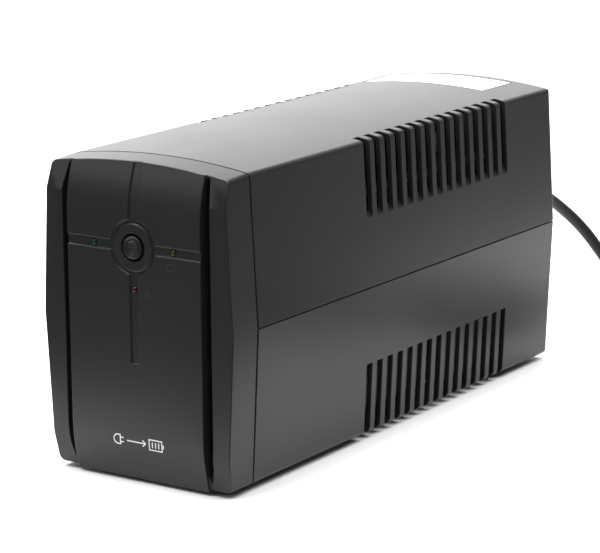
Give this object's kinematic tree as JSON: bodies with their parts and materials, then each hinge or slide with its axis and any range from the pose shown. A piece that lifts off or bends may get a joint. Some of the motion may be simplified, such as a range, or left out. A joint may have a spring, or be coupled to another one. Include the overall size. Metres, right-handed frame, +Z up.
{
  "type": "uninterruptible power supply",
  "caption": "Small tower uninterruptible power supply with a crowned plastic housing, side vents, front push button and lamps, rear outlets and a fixed mains lead.",
  "frame": {"origin": "middle of the housing footprint at the floor, without the mains lead", "axes": "+X to the right seen from the front, +Y to the back, +Z up"},
  "size_m": [0.2129, 0.3491, 0.1423],
  "materials": {
    "shell_plastic": "fine-textured satin",
    "bezel_plastic": "satin",
    "button_plastic": "satin",
    "label_film": "semi-gloss film",
    "rubber": "matt",
    "zinc_steel": "zinc plated",
    "nylon": "natural nylon",
    "black_component": "moulded",
    "circuit_board": "solder mask",
    "lamp_green": "tinted lens",
    "lamp_amber": "tinted lens",
    "lamp_red": "tinted lens",
    "ribbon_grey": "flat ribbon",
    "rear_plastic": "satin",
    "outlet_plastic": "semi-gloss",
    "brass": "stamped",
    "spring_steel": "nickel plated",
    "wire_brown": "insulation",
    "wire_blue": "insulation",
    "wire_earth": "insulation",
    "cord_pvc": "satin sheath",
    "plug_pvc": "satin moulding",
    "battery_plastic": "moulded",
    "foam": "closed-cell foam",
    "strap_steel": "zinc plated",
    "wire_red": "insulation",
    "wire_black": "insulation",
    "lamination": "varnished laminations",
    "copper": "taped copper winding",
    "wire_yellow": "insulation",
    "capacitor_sleeve": "shrink sleeve",
    "black_anodised": "black anodised, extruded",
    "fuse_blue": "moulded"
  },
  "bodies": {
    "housing": {"upper_shell": "shell_plastic", "lower_shell": "shell_plastic", "front_bezel": "bezel_plastic", "rating_label": "label_film", "rubber_feet": "rubber", "housing_screws": "zinc_steel", "switch_body": "black_component", "front_board": "circuit_board", "front_board_screws": "zinc_steel", "lamp_green": "lamp_green", "lamp_amber": "lamp_amber", "lamp_red": "lamp_red", "panel_ribbon": "ribbon_grey", "rear_panel": "rear_plastic", "outlet_upper": "outlet_plastic", "outlet_lower": "outlet_plastic", "outlet_contacts": "brass", "outlet_earth_clips": "spring_steel", "breaker_body": "black_component", "breaker_nut": "black_component", "outlet_wiring_live": "wire_brown", "outlet_wiring_neutral": "wire_blue", "earth_wiring": "wire_earth", "strain_relief": "cord_pvc", "power_cord": "cord_pvc", "cord_coil": "cord_pvc", "cord_tail": "cord_pvc", "plug_body": "plug_pvc", "plug_pins": "spring_steel", "plug_earth_contacts": "spring_steel", "inlet_cores": "wire_blue", "battery_case": "battery_plastic", "battery_lid": "battery_plastic", "battery_terminals": "brass", "battery_pads": "foam", "battery_strap": "strap_steel", "strap_screws": "zinc_steel", "battery_lead_red": "wire_red", "battery_lead_black": "wire_black", "transformer_core": "lamination", "transformer_bobbin": "nylon", "transformer_windings": "copper", "transformer_angles": "strap_steel", "transformer_bolts": "zinc_steel", "transformer_screws": "zinc_steel", "transformer_leads": "wire_yellow", "main_board": "circuit_board", "board_screws": "zinc_steel", "relays": "black_component", "capacitors": "capacitor_sleeve", "power_transistors": "black_component", "heat_sink": "black_anodised", "board_fuse": "fuse_blue", "board_chips": "black_component", "board_connectors": "nylon"},
    "button": {"power_button": "button_plastic"},
    "plunger": {"switch_plunger": "nylon"},
    "reset": {"reset_button": "black_component"}
  },
  "joints": [
    {"name": "button_press", "type": "slide", "parent": "housing", "child": "button", "axis": [0, 1, 0], "range_m": [0, 0.0015], "stiffness_N_per_m": 400, "springref_m": -0.003},
    {"name": "plunger_press", "type": "slide", "parent": "housing", "child": "plunger", "axis": [0, 1, 0], "range_m": [0, 0.0015]},
    {"name": "reset_pop", "type": "slide", "parent": "housing", "child": "reset", "axis": [0, 1, 0], "range_m": [0, 0.004]}
  ],
  "couplings": [
    {"joint": "plunger_press", "follows": "button_press", "ratio": 1}
  ]
}
